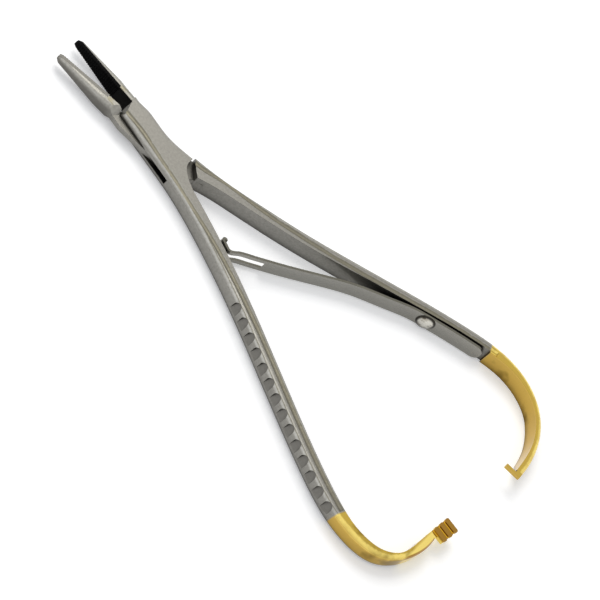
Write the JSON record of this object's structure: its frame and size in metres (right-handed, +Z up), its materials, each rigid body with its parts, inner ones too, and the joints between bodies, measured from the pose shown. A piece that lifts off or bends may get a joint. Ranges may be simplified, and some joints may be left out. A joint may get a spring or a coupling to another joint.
{
  "type": "palm-grip needle holder with box lock and ratchet",
  "caption": "Palm-grip surgical needle holder, 14 cm, satin stainless steel with box lock, black jaw inserts, leaf spring, fluted handles and gold-plated ratchet ends, open",
  "frame": {"origin": "pivot axis of the box lock on the face that the tool rests on", "axes": "X forwards to the jaw tips, Y towards the ratchet handle, Z up out of the resting face"},
  "size_m": [0.1392, 0.07, 0.0048],
  "materials": {
    "satin_steel": "satin",
    "pin_steel": "ground flush",
    "jaw_carbide": "cross-cut black hard metal",
    "spring_steel": "satin",
    "rivet_steel": "polished"
  },
  "bodies": {
    "female_body": {"female_half": "satin_steel", "female_jaw_insert": "jaw_carbide", "pivot_pin": "pin_steel", "spring_keeper": "pin_steel"},
    "male_body": {"male_half": "satin_steel", "male_jaw_insert": "jaw_carbide", "leaf_spring": "spring_steel", "spring_rivet": "rivet_steel"}
  },
  "joints": [
    {"name": "box_lock", "type": "hinge", "parent": "female_body", "child": "male_body", "pos_m": [0, 0, 0], "axis": [0, 0, -1], "range_deg": [0, 11], "stiffness_Nm_per_rad": 0.8, "springref_deg": -2.86, "deforming": ["leaf_spring"]}
  ]
}
